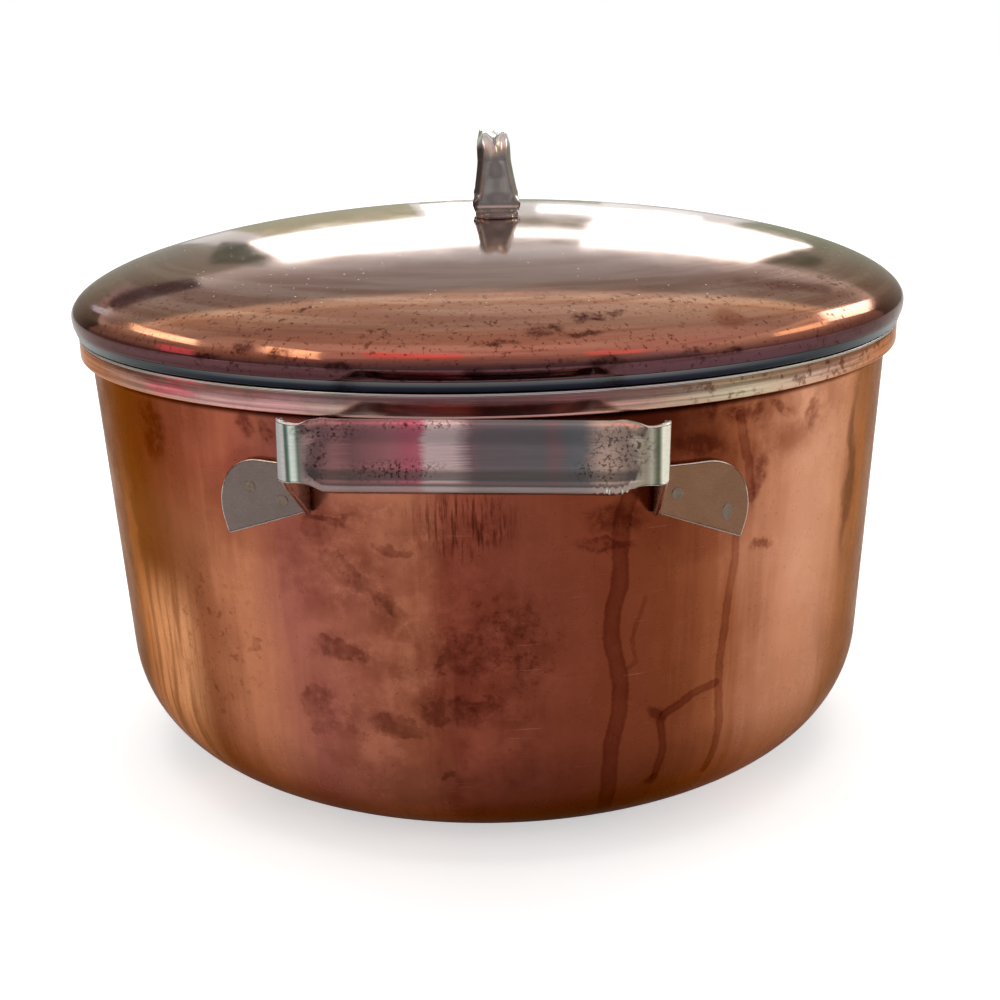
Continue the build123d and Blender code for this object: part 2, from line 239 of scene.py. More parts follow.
def channel(half, lip, hollow, roll, splay=0, far_splay=0):
    """Section with folded long edges: (depth, height) points from one lip's tip to the other's."""
    def edge(turned):
        lean = radians(turned)
        start = roll * (1 - sin(lean))
        rise = (lip - start) * tan(lean)
        ridge = half - roll * cos(lean) - rise
        points = [(lerp(lip, start, i / 3), rise * i / 3 - half) for i in range(3)]
        for i in range(9):
            turn = radians(lerp(270 - turned, 180, i / 8))
            points.append((roll + roll * cos(turn), roll * sin(turn) - ridge))
        return points, ridge

    lower, low_ridge = edge(splay)
    upper, high_ridge = edge(far_splay)
    middle = [(hollow(i / 12 - 1), lerp(-low_ridge, high_ridge, i / 24)) for i in range(1, 24)]
    return lower + middle + [(depth, -height) for depth, height in reversed(upper)]


def thickened(section):
    """Outer and inner points of a section, the inner ones STRAP deeper along the normal."""
    inner = []
    for i, (depth, height) in enumerate(section):
        before, after = section[max(i - 1, 0)], section[min(i + 1, len(section) - 1)]
        dx, dy = after[0] - before[0], after[1] - before[1]
        size = hypot(dx, dy)
        inner.append((depth + STRAP * dy / size, height - STRAP * dx / size))
    return section, inner


def blended(a, b, share):
    return [
        [(lerp(p[0], q[0], share), lerp(p[1], q[1], share)) for p, q in zip(a[k], b[k])]
        for k in (0, 1)
    ]


SECTION_POINTS = 47


def plate(half_low, half_high):
    """Flat section with the same point count as a channel."""
    heights = [lerp(half_low, half_high, i / (SECTION_POINTS - 1)) for i in range(SECTION_POINTS)]
    return [(0, h) for h in heights], [(STRAP, h) for h in heights]


def strap_mesh(solid, rows, body, edge):
    """Closed sheet from rows of (outer points, inner points), in place of one solid."""
    points = [point for outer, inner in rows for point in outer + inner[::-1]]
    size = 2 * SECTION_POINTS
    faces = []
    for a in range(0, len(points) - size, size):
        for k in range(size):
            n = (k + 1) % size
            faces.append((a + k, a + n, a + size + n, a + size + k))
    for a in (0, len(points) - size):
        for k in range(SECTION_POINTS - 1):
            faces.append((a + k, a + size - 1 - k, a + size - 2 - k, a + k + 1))
    piece = make_object(solid + "_strap", points, faces, body, [solid])
    bevel = piece.modifiers.new("edges", "BEVEL")
    bevel.width = edge * MM
    bevel.segments = 3
    bevel.limit_method = "ANGLE"
    bevel.angle_limit = radians(50)
    bevel.use_clamp_overlap = False
    bevel.material = 1
    return piece


def along(points, share):
    """Point at a share of the length of a polyline."""
    lengths = [hypot(b[0] - a[0], b[1] - a[1]) for a, b in zip(points, points[1:])]
    rest = share * sum(lengths)
    for a, b, size in zip(points, points[1:], lengths):
        if rest <= size or b is points[-1]:
            return lerp(a[0], b[0], min(1, rest / size)), lerp(a[1], b[1], min(1, rest / size))
        rest -= size


def patch_rows(count, near, low, high, far, place):
    """Strap rows over the patch between the curve near and the polylines low, high and far."""
    def point(share, across):
        a, b, c, d = near(across), along(far, across), along(low, share), along(high, share)
        e, f, g, h = near(0), near(1), along(far, 0), along(far, 1)
        return [
            lerp(c[k], d[k], across) + lerp(a[k], b[k], share)
            - lerp(lerp(e[k], f[k], across), lerp(g[k], h[k], across), share)
            for k in (0, 1)
        ]

    rows = []
    for i in range(1, count + 1):
        row = [point(i / count, k / (SECTION_POINTS - 1)) for k in range(SECTION_POINTS)]
        rows.append([[place(u, v, depth) for u, v in row] for depth in (0, STRAP)])
    return rows


def placed(section, place):
    """The outer and the inner points of a section, each moved by place(depth, height)."""
    return [[place(depth, height) for depth, height in points] for points in section]


def upright_row(low, high, place):
    """Row of a strap that stands between two heights; place(depth, height) is its point in plan."""
    return placed(plate(low, high), lambda depth, height: (*place(depth, height), height))


tilt = radians(WING_TILT)


def fold(height):
    """Of the fold between arm and wing: its distance around the wall and its y."""
    x, reach = ARM_FACE + FOLD_INSIDE, wall_radius(height) + STRAP + FOLD_INSIDE
    return asin(x / reach) * ARC_RADIUS, -sqrt(reach ** 2 - x ** 2)


class Wing:
    """Outline of a wing on the unrolled wall, as (distance, height) curves round its four sides."""

    def __init__(self, grow):
        middle, size = WING_MIDDLE + 0.75 * grow, WING_ARC + 0.25 * grow
        start = (middle + size * cos(tilt), WING_HEIGHT - size * sin(tilt))
        corner = (start[0] - WING_SIDE * sin(tilt), start[1] - WING_SIDE * cos(tilt))
        start_arc = fold(100)[0]
        self.fold_low = corner[1] + (corner[0] - start_arc) * tan(tilt)
        self.fold_high = WING_HEIGHT + size
        centre = (middle, WING_HEIGHT)
        low_end = (corner[0] - 0.6, corner[1] + 0.6 * tan(tilt))
        self.top = line((start_arc, self.fold_high), (middle, self.fold_high), 8)
        self.top += arc(centre, size, 90, 38, 20)[1:]
        self.end = [corner] + line((corner[0] + 0.35, corner[1] + 0.45), start, 4)
        self.end += arc(centre, size, -WING_TILT, 38, 22)[1:]
        self.low = line((start_arc, self.fold_low), low_end, 8) + [corner]


def grip_hollow(q):
    """Depth of the grip's face, almost flat."""
    return 0.35 * (1 - smooth(abs(q), 0.3, 1))


def side_handle(solid, front):
    grip = thickened(channel(GRIP_HALF, 4.6, grip_hollow, 1.8))
    right, left = Wing(1.2 if front else 0), Wing(0)

    def ripple(x, k):
        """Height of the nicks on the lower lip of the front grip."""
        if not (front and NICKS[0] < x < NICKS[3] and 1 <= k <= 12):
            return 0
        window = smooth(x, NICKS[0], NICKS[1]) * (1 - smooth(x, NICKS[2], NICKS[3]))
        return 0.2 * window * sin(pi * k / 13) * sin(2 * pi * x / 1.35 + 0.8 * sin(x * 1.7))

    def grip_row(x):
        size = abs(x)
        flat_share = smooth(size, 32.5, 38.6)
        half = lerp(GRIP_HALF, NECK_HALF - 0.3, smooth(size, 32.5, 38.3))
        narrower = lerp(1, half / GRIP_HALF, 1 - flat_share)
        section = blended(
            placed(grip, lambda d, h: (d, h * narrower)), plate(-half, half), flat_share,
        )
        lean = radians(GRIP_LEAN) * (1 - smooth(size, 30, 39))
        rows = []
        for points in section:
            row = []
            for k, (depth, height) in enumerate(points):
                depth -= ripple(x, k) * 0.5
                height -= ripple(x, k)
                row.append((
                    x,
                    depth * cos(lean) + height * sin(lean) - GRIP_REACH,
                    GRIP_HEIGHT + height * cos(lean) - depth * sin(lean),
                ))
            rows.append(row)
        return rows

    corner_end = CORNER - GRIP_REACH

    def arm_rows(wing):
        rows = []
        for i in range(1, 13):
            turn = radians(-90 + 90 * i / 12)
            half = NECK_HALF - 0.3 * (1 - smooth(i, 0, 8))
            rows.append(upright_row(GRIP_HEIGHT - half, GRIP_HEIGHT + half, lambda depth, _: (
                ARM_FACE - CORNER + (CORNER - depth) * cos(turn),
                corner_end + (CORNER - depth) * sin(turn),
            )))
        length = fold(103)[1] - corner_end
        for i in range(1, 25):
            share = i / 24
            run = share * length
            eased = (sqrt(run * run + 4) - 2 * (1 - smooth(run, 0, 8))) / length
            eased = min(1, eased) if share < 1 else 1
            rows.append(upright_row(
                lerp(GRIP_HEIGHT - NECK_HALF, wing.fold_low, eased),
                lerp(GRIP_HEIGHT + NECK_HALF, wing.fold_high, eased),
                lambda depth, h: (ARM_FACE - depth, lerp(corner_end, fold(h)[1], share)),
            ))
        fold_x = ARM_FACE + FOLD_INSIDE
        for i in range(1, 9):
            def folded(depth, h):
                y, reach = fold(h)[1], FOLD_INSIDE + depth
                turn = lerp(pi, atan2(-y, -fold_x), i / 8)
                return fold_x + reach * cos(turn), y + reach * sin(turn)
            rows.append(upright_row(wing.fold_low, wing.fold_high, folded))
        return rows

    def wing_rows(wing):
        def near(across):
            height = lerp(wing.fold_low, wing.fold_high, across)
            return fold(height)[0], height

        def on_wall(distance, h, depth):
            turn = distance / ARC_RADIUS
            reach = wall_radius(h) + STRAP - depth
            return reach * sin(turn), -reach * cos(turn), h

        return patch_rows(WING_ROWS, near, wing.low, wing.top, wing.end, on_wall)

    fine = 0.18 if front else 0.5
    right_x = [i * 2 for i in range(13)] + [24.5 + fine * i for i in range(int(14 / fine))]
    left_x = [i * 2 for i in range(1, 13)] + [24.5 + 0.5 * i for i in range(28)]
    near, outside = (arm_rows(wing) + wing_rows(wing) for wing in (left, right))
    mirrored = [[[(-x, y, z) for x, y, z in points] for points in row] for row in near]
    middle = [-x for x in reversed(left_x + [38.6])] + right_x + [38.6]
    rows = mirrored[::-1] + [grip_row(x) for x in middle] + outside
    roll = Matrix.Translation((0, 0, WING_HEIGHT))
    roll = roll @ Matrix.Rotation(radians(FRONT_ROLL if front else 0), 4, "Y") @ roll.inverted()
    spin = Matrix.Rotation(0 if front else pi, 4, "Z")

    def settled(point, depth, on_wall):
        q = roll @ Vector(point)
        if on_wall:
            stretch = (wall_radius(q.z) + STRAP - depth) / hypot(q.x, q.y)
            q = Vector((q.x * stretch, q.y * stretch, q.z))
        elif front:
            q.x -= GRIP_SHIFT * smooth(-q.y, 112, 146)
        return tuple(spin @ q)

    final = []
    for n, row in enumerate(rows):
        on_wall = n < WING_ROWS or n >= len(rows) - WING_ROWS
        final.append([
            [settled(p, depth, on_wall) for p in points] for depth, points in zip((0, STRAP), row)
        ])
    return strap_mesh(solid, final, "pot", 0.42)


front_handle = side_handle("front_handle", True)
rear_handle = side_handle("rear_handle", False)


# Lid handle: an arch that ends in two round feet on the dome

KNOB_SIDE, KNOB_CORNER, KNOB_HALF_TOP, KNOB_HALF_FOOT = 21, 8, 5, 7
FOOT_HALF, FOOT_REACH, FOOT_LEVEL, FOOT_BEND = 6.2, 31.9, 161.3, 1.2
knob_place = Matrix.Translation((KNOB_OFFSET, 0, LID_CROWN))
knob_place = knob_place @ Matrix.Rotation(radians(KNOB_TURN), 4, "Z") \
    @ Matrix.Rotation(radians(-KNOB_TILT), 4, "Y") @ Matrix.Translation((0, 0, -LID_CROWN))


def lid_handle():
    leg_top = KNOB_TOP - KNOB_CORNER
    bend_top = FOOT_LEVEL + STRAP + FOOT_BEND
    corner_y = KNOB_CORNER - KNOB_SIDE

    def knob_section(half, hollow, even):
        def dip(q):
            sharp, soft = 1 - sin(abs(q) * pi / 2), cos(q * pi / 2) ** 2
            return hollow * lerp(sharp, soft, even)
        return thickened(channel(half, 4.2, dip, KNOB_ROLL, KNOB_SPLAY, KNOB_FAR_SPLAY))

    # Rows from the top of the arch to the foot, each with the share by which it follows the dome
    rows = []
    for i in range(7):
        y = lerp(0, corner_y, i / 6)
        section = knob_section(KNOB_HALF_TOP, 1.7, 0.1)
        rows.append((placed(section, lambda d, w: (-w, y, KNOB_TOP - d)), 0))
    for i in range(1, 13):
        turn = radians(90 + 90 * i / 12)
        easing = smooth(i, 2, 12)
        section = knob_section(KNOB_HALF_TOP, lerp(1.7, 0.9, easing), lerp(0.1, 1, easing))
        rows.append((placed(section, lambda d, w: (
            -w, corner_y + (KNOB_CORNER - d) * cos(turn), leg_top + (KNOB_CORNER - d) * sin(turn),
        )), 0))
    for i in range(1, 25):
        share = i / 24
        z = lerp(leg_top, bend_top, share)
        half = lerp(KNOB_HALF_TOP, KNOB_HALF_FOOT, share ** 1.15)
        section = knob_section(half, lerp(0.9, 0.3, smooth(share, 0, 0.4)), 1)
        flatness = smooth(z, bend_top + 3.4, bend_top + 0.2)
        section = blended(section, plate(-half, half), flatness)
        follow = smooth(z, bend_top + 6, bend_top)
        rows.append((placed(section, lambda d, w: (-w, d - KNOB_SIDE, z)), follow))
    bend_y = -KNOB_SIDE - FOOT_BEND
    for i in range(1, 11):
        turn = radians(-90 * i / 10)
        half = lerp(KNOB_HALF_FOOT, FOOT_HALF, smooth(i, 0, 10))
        rows.append((placed(plate(-half, half), lambda d, w: (
            -w, bend_y + (FOOT_BEND + d) * cos(turn), bend_top + (FOOT_BEND + d) * sin(turn),
        )), 1))
    disc = (0, FOOT_HALF - FOOT_REACH)
    high = line((FOOT_HALF, bend_y), (FOOT_HALF, disc[1]), 4) + arc(disc, FOOT_HALF, 0, -45, 12)[1:]
    foot_rows = patch_rows(
        16, lambda across: (lerp(-FOOT_HALF, FOOT_HALF, across), bend_y),
        [(-x, y) for x, y in high], high, arc(disc, FOOT_HALF, -135, -45, 24),
        lambda w, y, depth: (-w, y, FOOT_LEVEL + STRAP - depth),
    )
    rows += [(row, 1) for row in foot_rows]

    def settled(point, follow):
        q = knob_place @ Vector(point)
        level = (knob_place @ Vector((point[0], point[1], FOOT_LEVEL))).z
        q.z += follow * (dome_height(hypot(q.x, q.y)) - level + 0.02)
        return tuple(q)

    near, far = [], []
    for row, follow in rows:
        near.append([[settled(p, follow) for p in points] for points in row])
        far.append([
            [settled((-x, -y, z), follow) for x, y, z in reversed(points)] for points in row
        ])
    return strap_mesh("lid_handle", near[::-1] + far[1:], "lid", 0.4)


lid_handle_piece = lid_handle()


# Weld marks: shallow raised rings

MARK_PROFILE = (
    (0, 0.03), (0.8, 0.04), (1.1, 0.07), (1.3, 0.13), (1.5, 0.13), (1.65, 0.06), (1.75, -0.12),
    (0, -0.12),
)


def weld_marks(side, places, body):
    """Raised rings in place of the welds of one handle."""
    points, faces = [], []
    for centre, outward, stretch in places:
        centre, outward = Vector(centre), Vector(outward).normalized()
        x_axis = Vector((0, 0, 1)).cross(outward)
        x_axis = x_axis.normalized() if x_axis.length > 0.1 else Vector((1, 0, 0))
        y_axis = outward.cross(x_axis) * stretch
        revolve(points, faces, MARK_PROFILE, 32, lambda r, h, turn: tuple(
            centre + x_axis * r * cos(turn) + y_axis * r * sin(turn) + outward * h
        ))
    return make_object(side + "_weld_marks", points, faces, body, [side + "_handle_welds"])


def wing_mark(turn, height, roll, half_turn):
    """Centre and direction of a mark at an angle from the front, on a rolled wing."""
    x = (wall_radius(height) + STRAP) * sin(radians(turn))
    angle, lean = radians(roll), radians(WALL_DRAFT)
    x, z = x * cos(angle) + (height - WING_HEIGHT) * sin(angle), height - x * sin(angle)
    reach = wall_radius(z) + STRAP
    y = -sqrt(reach * reach - x * x)
    if half_turn:
        x, y = -x, -y
    return (x, y, z), (x / reach * cos(lean), y / reach * cos(lean), -sin(lean))


SPOTS = ((23.6, 102.4, 1), (30.9, 95.8, 1.45), (-24.3, 99.6, 1), (-28.9, 102, 1))
front_marks = [(*wing_mark(turn, height, FRONT_ROLL, False), size) for turn, height, size in SPOTS]
rear_marks = [(*wing_mark(turn, height, 0, True), 1) for turn, height, _ in SPOTS]
foot_marks = []
for x, y in ((2.9, -25.6), (-2.9, -25.6), (2.9, 25.6), (-2.9, 25.6)):
    x, y, _ = knob_place @ Vector((x, y, LID_CROWN))
    foot_marks.append(((x, y, dome_height(hypot(x, y)) + STRAP), (0, 0, 1), 0.9))
front_welds = weld_marks("front", front_marks, "pot")
rear_welds = weld_marks("rear", rear_marks, "pot")
lid_welds = weld_marks("lid", foot_marks, "lid")


# ---------------------------------------------------------------- materials

UNROLLED_RADIUS = 117      # radius at which the looks count distances around the wall
STEEL_COLOR = (0.58, 0.6, 0.6, 1)


def linear(color):
    """An sRGB color 0xRRGGBB as linear RGBA; any other input as it is."""
    if not isinstance(color, int):
        return color
    shares = [(color >> shift & 255) / 255 for shift in (16, 8, 0)]
    return (*(s / 12.92 if s <= 0.04045 else ((s + 0.055) / 1.055) ** 2.4 for s in shares), 1)


class Value:
    """Output of a node, with short calls for the nodes that follow it."""

    def __init__(self, tree, socket):
        self.tree, self.socket = tree, socket

    def math(self, operation, *others, clamp=False):
        inputs = dict(enumerate((self, *others)))
        return self.tree.add("Math", inputs, operation=operation, use_clamp=clamp)

    def __add__(self, other):
        return self.math("ADD", other)

    def __sub__(self, other):
        return self.math("SUBTRACT", other)

    def __rsub__(self, other):
        return self.tree.add("Math", {0: other, 1: self}, operation="SUBTRACT")

    def __mul__(self, other):
        return self.math("MULTIPLY", other)

    def __abs__(self):
        return self.math("ABSOLUTE")

    def vector(self, operation, *others, out=0):
        inputs = dict(enumerate((self, *others)))
        return self.tree.add("VectorMath", inputs, out, operation=operation)

    def split(self):
        parts = self.tree.node("SeparateXYZ", {0: self})
        return [Value(self.tree, socket) for socket in parts.outputs]

    def around(self):
        """(u, z, x, y) of a position, where u is the distance round the wall from the front."""
        x, y, z = self.split()
        return x.math("ARCTAN2", y * -1) * UNROLLED_RADIUS, z, x, y

    def noise(self, scale, detail=4, rough=0.55, stretch=None, out=0):
        place = self.vector("MULTIPLY", stretch) if stretch else self
        inputs = {"Vector": place, "Scale": scale, "Detail": detail, "Roughness": rough}
        return self.tree.add("TexNoise", inputs, out)

    def warped(self, strength, scale, detail=3):
        """The plane pushed about by noise, so that outlines drawn on it come out ragged."""
        push = self.noise(scale, detail, 0.6, out=1).vector("SUBTRACT", (0.5, 0.5, 0.5))
        return self.vector("ADD", push.vector("MULTIPLY", (strength, strength, 0)))

    def ease(self, low, high, to_low=0, to_high=1):
        inputs = {0: self, 1: low, 2: high, 3: to_low, 4: to_high}
        return self.tree.add("MapRange", inputs, interpolation_type="SMOOTHSTEP")

    def stains(self, edge, *spots):
        """Mask of blotches on the unrolled wall: (place around, height, two half sizes, turn)."""
        masks = []
        for x, y, width, height, *turn in spots:
            offset = self.vector("SUBTRACT", (x, y, 0))
            if turn:
                inputs = {"Vector": offset, "Angle": radians(*turn)}
                offset = self.tree.add("VectorRotate", inputs, rotation_type="Z_AXIS")
            distance = offset.vector("DIVIDE", (width, height, 1)).vector("LENGTH", out=1)
            masks.append(distance.ease(1 + edge, 1 - edge))
        return strongest(masks)

    def streak(self, points, width, edge):
        """Mask of a run along a chain of points on the unrolled wall, and the distance to it."""
        nearest = None
        for a, b in zip(points, points[1:]):
            span = Vector(b) - Vector(a)
            start = self.vector("SUBTRACT", (*a, 0))
            share = start.vector("DOT_PRODUCT", (*span, 0), out=1)
            share = share.math("DIVIDE", span.length_squared, clamp=True)
            foot = self.tree.join(share * span.x, share * span.y)
            distance = start.vector("SUBTRACT", foot).vector("LENGTH", out=1)
            nearest = nearest.math("MINIMUM", distance) if nearest else distance
        return nearest.ease(width + edge, width - edge), nearest

    def mix(self, share, color):
        return self.tree.mix(share, self, color)

    def tint(self, share, color):
        """The color multiplied by another one, as far as share says."""
        return self.tree.mix(share, self, color, "MULTIPLY")

    def ramp(self, stops):
        node = self.tree.node("ValToRGB", {0: self})
        elements = node.color_ramp.elements
        while len(elements) < len(stops):
            elements.new(0.5)
        for element, (place, color) in zip(elements, stops):
            element.position = place
            element.color = linear(color)
        return Value(self.tree, node.outputs[0])


class Tree:
    """Node tree of one material or world."""

    def __init__(self, name, owners=bpy.data.materials):
        self.owner = owners.new(name)
        self.owner.use_nodes = True
        self.nodes, self.links = self.owner.node_tree.nodes, self.owner.node_tree.links
        self.nodes.clear()

    def node(self, kind, inputs, **settings):
        node = self.nodes.new("ShaderNode" + kind)
        for key, value in settings.items():
            setattr(node, key, value)
        for key, value in inputs.items():
            if isinstance(value, Value):
                self.links.new(value.socket, node.inputs[key])
            else:
                node.inputs[key].default_value = value
        return node

    def add(self, kind, inputs, out=0, **settings):
        return Value(self, self.node(kind, inputs, **settings).outputs[out])

    def mix(self, share, first, second, blend="MIX"):
        inputs = {0: share, 6: linear(first), 7: linear(second)}
        return self.add("Mix", inputs, 2, data_type="RGBA", blend_type=blend)

    def scaled(self, vector, factor):
        return self.add("VectorMath", {0: vector, "Scale": factor}, operation="SCALE")

    def join(self, x, y, z=0):
        return self.add("CombineXYZ", {0: x, 1: y, 2: z})

    def position(self):
        """Point in the object's own space, in millimetres."""
        return self.scaled(self.add("TexCoord", {}, "Object"), 1 / MM)

    def finish(self, color, metallic, roughness, bump=None, strength=0, distance=0, tint=None):
        inputs = {"Base Color": color, "Metallic": metallic, "Roughness": roughness}
        if bump:
            relief = {"Strength": strength, "Distance": distance, "Height": bump}
            inputs["Normal"] = self.add("Bump", relief)
        if tint is not None:
            inputs["Specular Tint"] = linear(tint)
        self.node("OutputMaterial", {"Surface": self.add("BsdfPrincipled", inputs)})
        return self.owner


def strongest(masks):
    total = masks[0]
    for mask in masks[1:]:
        total = total.math("MAXIMUM", mask)
    return total


def pot_copper():
    tree = Tree("satin_copper")
    position = tree.position()
    u, z, x, y = position.around()
    plane = tree.join(u, z)
    coarse = position.noise(0.03, 3, 0.5)
    cloud = position.noise(0.075, 8, 0.66)
    fine = position.noise(0.33, 8, 0.72)
    ragged = plane.warped(16, 0.06).warped(4, 0.35)
    crisp = plane.warped(6, 0.12).warped(2.6, 0.55)
    upright = plane.noise(1, 5, 0.6, stretch=(0.28, 0.022, 1))
    # Colour round the wall: copper tones with painted reflections in them, darker across the front
    # and paler towards both sides; the pink tint at the upper left is a painted reflection too
    wobble = (coarse - 0.5) * 26
    wobble = wobble + (upright - 0.5) * 22
    color = (u + wobble).ease(-150, 150).ramp((
        (0, 0x704836), (0.07, 0x86543C), (0.13, 0xA06246), (0.19, 0xC88260), (0.26, 0xAC6658),
        (0.33, 0xB8725C), (0.4, 0xB87458), (0.47, 0x98503E), (0.56, 0x864634), (0.64, 0x7E3E2A),
        (0.72, 0x804228), (0.8, 0xA05E3E), (0.9, 0xD69676), (0.94, 0xD69E82), (1, 0x76503A),
    ))
    upper_left = u.ease(-44, -66) * z.ease(84, 108)
    color = color.tint(upper_left * 0.8, 0xDAB4BE)
    # Painted highlight: a pale orange glow low on the left side
    left_glow_highlight = u.ease(-82, -96) * u.ease(-128, -112)
    left_glow_highlight = left_glow_highlight * z.ease(76, 56)
    left_glow_highlight = left_glow_highlight * upright.ease(0.38, 0.58, 0.35, 1)
    color = color.mix(left_glow_highlight * 0.9, 0xFAB888)
    # Painted highlight: a pale sheen high on the right side
    right_sheen_highlight = u.ease(82, 94) * u.ease(119, 110)
    right_sheen_highlight = right_sheen_highlight * z.ease(44, 76)
    color = color.mix(right_sheen_highlight * 0.55, 0xECB292)
    # Painted shade: darker towards the bottom of the wall
    low_painted_shade = z.ease(36, 6)
    color = color.tint(low_painted_shade * 0.3, 0xBEA0AC)
    # Broad tarnish over the whole wall, thickest in the middle of the front
    middle = strongest([
        ragged.stains(0.6, (-10, 56, 28, 36), (-12, 34, 30, 20)),
        ragged.stains(0.5, (-36, 84, 17, 15), (62, 116, 44, 12)),
    ])
    haze = cloud.ease(0.26, 0.64) * middle.ease(0, 1, 0.2, 1)
    color = color.tint(haze * 0.75, 0xB89C94)
    blotches = (
        (-33, 81, 9, 4.6, -36), (-27, 76, 6, 3, -28), (-40, 62, 6, 4, -12), (-33, 60, 8, 3.2),
        (-44, 46, 5, 6.5), (-36, 42, 8, 5), (-9, 45.6, 10, 4.2, 6), (-16, 49, 6, 3.4),
        (-9, 60, 7, 5.4), (-3, 64, 7, 7), (8, 69, 6, 7, 10), (-12, 94, 8, 6), (0, 95, 7, 6),
        (-38, 96, 9, 3.6, -30), (-22, 70, 8, 3.6, 26), (-30, 99, 9, 3), (-22, 56, 5, 4.6),
        (12, 58, 5, 4),
    )
    dark = crisp.stains(0.75, *blotches) * fine.ease(0.4, 0.56, 0.15, 1)
    color = color.tint(dark * 0.4, 0xB29692)
    cores = (
        (-26.5, 76, 5.4, 1.9, 38), (-9.6, 58.4, 4.2, 1.7, -30), (-3.5, 62, 7, 6), (-45.5, 43, 5, 7),
        (-37, 61, 8.4, 2.8, 6), (-9.8, 28.2, 1.4, 1.7), (-64.2, 58.3, 2.4, 1.3, -42),
        (-86, 48, 1.4, 1.5), (9, 70, 5, 3, -20), (-6.4, 45.6, 11, 3.6, -6), (-24, 40.5, 8, 3, 8),
        (-34, 82, 9, 3, 34), (-38, 97, 7, 1.4), (-22, 89, 5, 1.3, 16),
    )
    core_plane = plane.warped(9, 0.14).warped(4.6, 0.5, 5)
    core = core_plane.stains(0.2, *cores) * cloud.ease(0.34, 0.62, 0.25, 0.75)
    color = color.tint(core, 0xBAA6A4)
    combed = plane.noise(1, 4, 0.6, stretch=(0.9, 0.1, 1))
    comb = crisp.stains(0.5, (-4, 97, 12, 8)) * combed.ease(0.46, 0.62)
    color = color.tint(comb * 0.8, 0x9A7870)
    grit = ragged.stains(0.5, (-80, 56, 16, 22), (4, 64, 16, 16)) * fine.ease(0.54, 0.62)
    color = color.tint(grit * 0.6, 0xBA968C)
    # Runs of dried liquid, darker along their edges
    wavy = plane.warped(1.6, 0.16).warped(0.9, 0.8)
    runs = (
        (((36, 101), (34.5, 95), (34.4, 88), (34.4, 78), (32.6, 72), (32.4, 64), (33.8, 58),
          (35.2, 51), (35, 43), (33.2, 35), (32.8, 26), (34.2, 13), (35, 4)), 2.3, 0.85),
        (((67.4, 94), (67.8, 80), (67.2, 75), (66.2, 68), (65.6, 60), (64.8, 52), (64.8, 45),
          (65.8, 36), (65.4, 28), (64.6, 19)), 1.3, 0.8),
        (((64, 46), (56, 44.3), (51.2, 42), (48, 40.2), (47, 38), (48, 30), (46.8, 21)),
         1.15, 0.9),
        (((66.6, 118.4), (68.4, 112), (70.4, 106), (72.2, 96)), 1.4, 0.8),
        (((41.5, 74), (39.2, 68), (38, 63), (39.4, 57), (37, 55)), 0.5, 0.6),
    )
    for points, width, depth in runs:
        mask, away = wavy.streak(points, width, 0.45)
        edge = away.ease(width * 0.3, width, 0.72, 1)
        shade = cloud.ease(0.35, 0.65, 0.75, 1)
        mask = mask * edge * shade
        color = color.tint(mask * depth, 0xB08480)
    patches = (
        (46, 41, 2.8, 2.3), (46.4, 20.6, 2.2, 1.7), (33, 96, 7.5, 3.6), (57.9, 120.6, 1.8, 2.4),
        (66, 119.5, 4.6, 2.2), (72, 119, 2, 2.4), (81, 118.5, 4.2, 1.4, 24), (94, 114.6, 3.4, 4.4),
        (77, 83, 4.4, 1.4, 6), (30, 89.5, 7.4, 1.7, 6), (74, 101, 2.2, 6.5, 12),
        (55, 112.5, 7, 3.4, 10), (-59.1, 119, 2.4, 3), (-52.8, 118, 1.9, 2.8), (-96, 113, 6, 8),
    )
    patchy = crisp.stains(0.4, *patches) * fine.ease(0.38, 0.56, 0.3, 1)
    color = color.tint(patchy * 0.75, 0xA68280)
    halo = ragged.stains(0.22, (-57, 97, 18, 16), (57, 97, 18, 16))
    color = color.tint(halo * 0.3, 0xA87474)
    # Painted shade below the collar across the front
    collar_shade = z.ease(108, 119.5) * abs(u).ease(72, 40)
    color = color.tint(collar_shade * 0.8, 0x96767C)
    blue = ragged.stains(0.6, (119, 94, 2.8, 22))
    color = color.tint(blue * 0.75, 0x969CBA)
    amber = ragged.stains(0.4, (128, 88, 4, 20), (-121, 66, 5, 30))
    color = color.mix(amber * 0.35, 0xCC844C)
    specks = position.noise(0.9, 3, 0.6).ease(0.66, 0.72)
    color = color.tint(specks * 0.45, 0x826862)
    scratch = plane.noise(1, 2, 0.5, stretch=(0.06, 3.2, 1))
    color = color.mix(scratch.ease(0.7, 0.76) * 0.16, 0xECB4A0)
    # The back, away from the photographed side, is evenly tarnished
    at_back = abs(u).ease(150, 205)
    back_color = tree.mix(cloud.ease(0.2, 0.8), 0xBC785C, 0xA6644C)
    color = color.mix(at_back, back_color)
    # Collar: polished, with some tarnish grain; its mauve colours round it and the rings across it
    # are painted reflection, with a painted highlight along its edges and a painted shadow in the
    # crease below it
    ring_place = tree.join(x * 0.02, z * 1.3, y * 0.02)
    rings = ring_place.noise(1, 4, 0.6)
    collar_color = u.ease(-150, 150).ramp((
        (0, 0xCE9C88), (0.1, 0xB28E82), (0.2, 0xCEA09E), (0.27, 0xDEA6A6), (0.34, 0xC4A69C),
        (0.42, 0xBE8E8E), (0.6, 0xC28C8C), (0.7, 0xC4A08E), (0.8, 0xC0B49A), (0.9, 0xD0AA96),
        (1, 0xCE967A),
    ))
    collar_color = collar_color.mix(at_back, 0xCE9982)
    rosy = crisp.stains(0.6, (-81, 126.6, 9, 1.8))
    collar_color = collar_color.mix(rosy * 0.7, 0xE86C7C)
